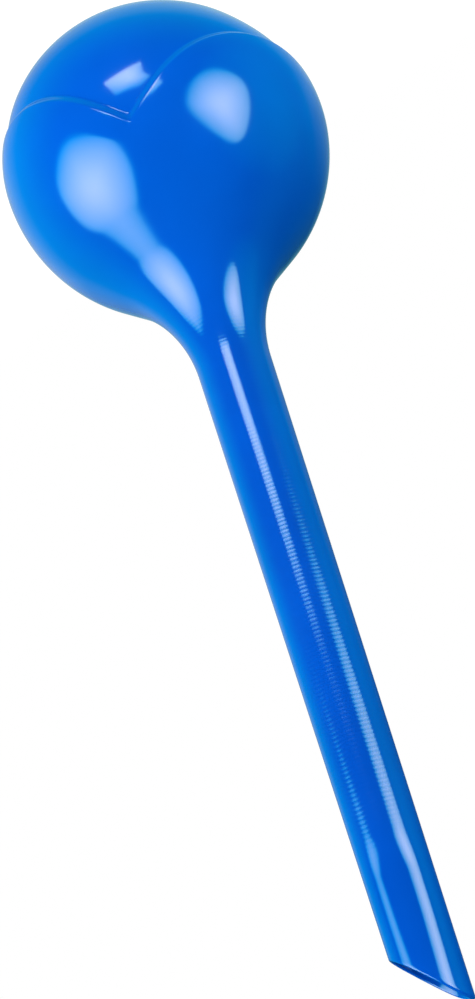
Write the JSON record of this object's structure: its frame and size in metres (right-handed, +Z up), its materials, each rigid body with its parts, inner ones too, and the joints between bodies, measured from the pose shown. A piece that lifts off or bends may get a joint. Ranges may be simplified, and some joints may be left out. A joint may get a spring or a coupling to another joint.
{
  "type": "plant watering globe",
  "caption": "Hollow blue plastic watering globe: a ball wrapped in petals in relief, narrowing to a long tapered hollow stake with a slanted open end that feeds water into potting soil.",
  "frame": {"origin": "on the stem's axis, level with the lowest point of its slanted end", "axes": "+Z up the stem to the ball, -Y the front of the picture, +X near the long point of the slanted end"},
  "size_m": [0.0798, 0.0788, 0.2416],
  "materials": {
    "globe_plastic": "glossy soft plastic"
  },
  "bodies": {
    "root": {"globe_dome": "globe_plastic", "petal_cup": "globe_plastic", "stem_tube": "globe_plastic"}
  },
  "joints": []
}
